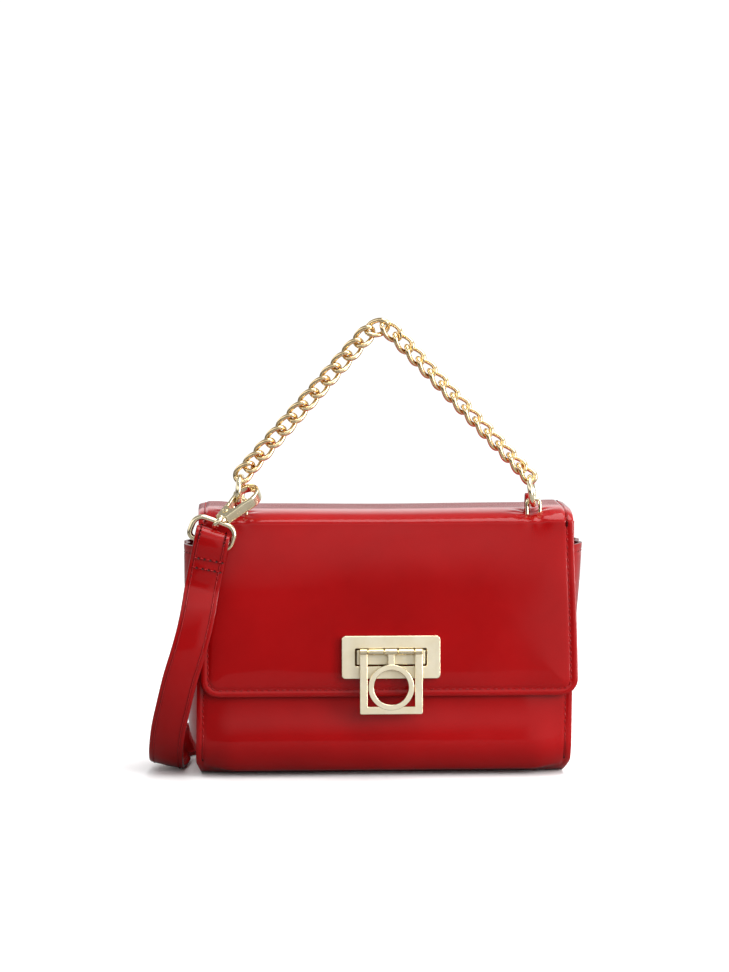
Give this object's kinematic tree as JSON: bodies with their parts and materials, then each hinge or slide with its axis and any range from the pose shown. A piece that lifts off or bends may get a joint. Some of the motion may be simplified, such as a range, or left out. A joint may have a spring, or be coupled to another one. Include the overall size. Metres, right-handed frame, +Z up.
{
  "type": "clutch purse",
  "caption": "Small structured flap bag in glossy leather with a curb-chain top handle, a drop-latch lock plate and a clip-on shoulder strap.",
  "frame": {"origin": "middle of the flat underside of the bag, on the surface it stands on", "axes": "+X to the right, +Y to the back, +Z up; the front with the lock faces -Y"},
  "size_m": [0.2326, 0.1379, 0.243],
  "materials": {
    "leather": "patent gloss",
    "flap_lining": "matt",
    "lining": "woven",
    "board": "plain",
    "gold": "polished pale gold",
    "chain_gold": "polished warm gold",
    "steel": "satin"
  },
  "bodies": {
    "bag": {"front_panel": "leather", "base_panel": "leather", "back_panel": "leather", "left_gusset": "leather", "right_gusset": "leather", "lining": "lining", "base_board": "board", "slip_pocket": "lining", "magnet_socket": "steel", "strap_front": "leather", "strap_hank": "leather", "strap_tail": "leather", "strap_loop_right": "leather", "right_strap_ring": "gold", "right_swivel_eye": "gold"},
    "flap": {"flap_outer": "leather", "flap_lining": "flap_lining", "lock_plate": "gold", "hinge_block": "gold", "lock_back_plate": "steel", "magnet_stud": "steel", "left_staple": "gold", "right_staple": "gold", "left_hook_body": "gold", "left_strap_ring": "gold", "strap_loop_left": "leather"},
    "latch": {"drop_latch": "gold", "hinge_pin": "gold"},
    "handle": {"left_bag_ring": "gold", "right_bag_ring": "gold", "chain_link_01": "chain_gold", "chain_link_02": "chain_gold", "chain_link_03": "chain_gold", "chain_link_04": "chain_gold", "chain_link_05": "chain_gold", "chain_link_06": "chain_gold", "chain_link_07": "chain_gold", "chain_link_08": "chain_gold", "chain_link_09": "chain_gold", "chain_link_10": "chain_gold", "chain_link_11": "chain_gold", "chain_link_12": "chain_gold", "chain_link_13": "chain_gold", "chain_link_14": "chain_gold", "chain_link_15": "chain_gold", "chain_link_16": "chain_gold", "chain_link_17": "chain_gold", "chain_link_18": "chain_gold", "chain_link_19": "chain_gold", "chain_link_20": "chain_gold", "chain_link_21": "chain_gold", "chain_link_22": "chain_gold", "chain_link_23": "chain_gold", "chain_link_24": "chain_gold", "chain_link_25": "chain_gold", "chain_link_26": "chain_gold"},
    "left_gate": {"left_hook_gate": "gold"},
    "left_eye": {"left_swivel_eye": "gold"},
    "right_hook": {"right_hook_body": "gold"},
    "right_gate": {"right_hook_gate": "gold"}
  },
  "joints": [
    {"name": "flap_hinge", "type": "hinge", "parent": "bag", "child": "flap", "pos_m": [0, 0.02582, 0.1342], "axis": [-1, 0, 0], "range_deg": [0, 110], "deforming": ["strap_front"]},
    {"name": "latch_hinge", "type": "hinge", "parent": "flap", "child": "latch", "pos_m": [0.0004, -0.03914, 0.06826], "axis": [-1, 0, 0], "range_deg": [0, 100]},
    {"name": "handle_swing", "type": "hinge", "parent": "flap", "child": "handle", "pos_m": [-0.0792, -0.021, 0.1483], "axis": [-1, 0, 0.0058], "range_deg": [-25, 35]},
    {"name": "left_gate_hinge", "type": "hinge", "parent": "flap", "child": "left_gate", "pos_m": [-0.0858, -0.02883, 0.14473], "axis": [0.332, 0.5554, -0.7624], "range_deg": [0, 6], "stiffness_Nm_per_rad": 0.02, "springref_deg": -11.46},
    {"name": "left_swivel", "type": "hinge", "parent": "flap", "child": "left_eye", "pos_m": [-0.09, -0.0357, 0.1379], "axis": [0.652, 0.449, 0.611], "range_deg": [-8, 8]},
    {"name": "right_swivel", "type": "hinge", "parent": "bag", "child": "right_hook", "pos_m": [0.0613, 0.0825, 0.0046], "axis": [1, 0, 0], "range_deg": [-15, 15]},
    {"name": "right_gate_hinge", "type": "hinge", "parent": "right_hook", "child": "right_gate", "pos_m": [0.0713, 0.0859, 0.0046], "axis": [0, 0, -1], "range_deg": [0, 18], "stiffness_Nm_per_rad": 0.02, "springref_deg": -11.46}
  ]
}
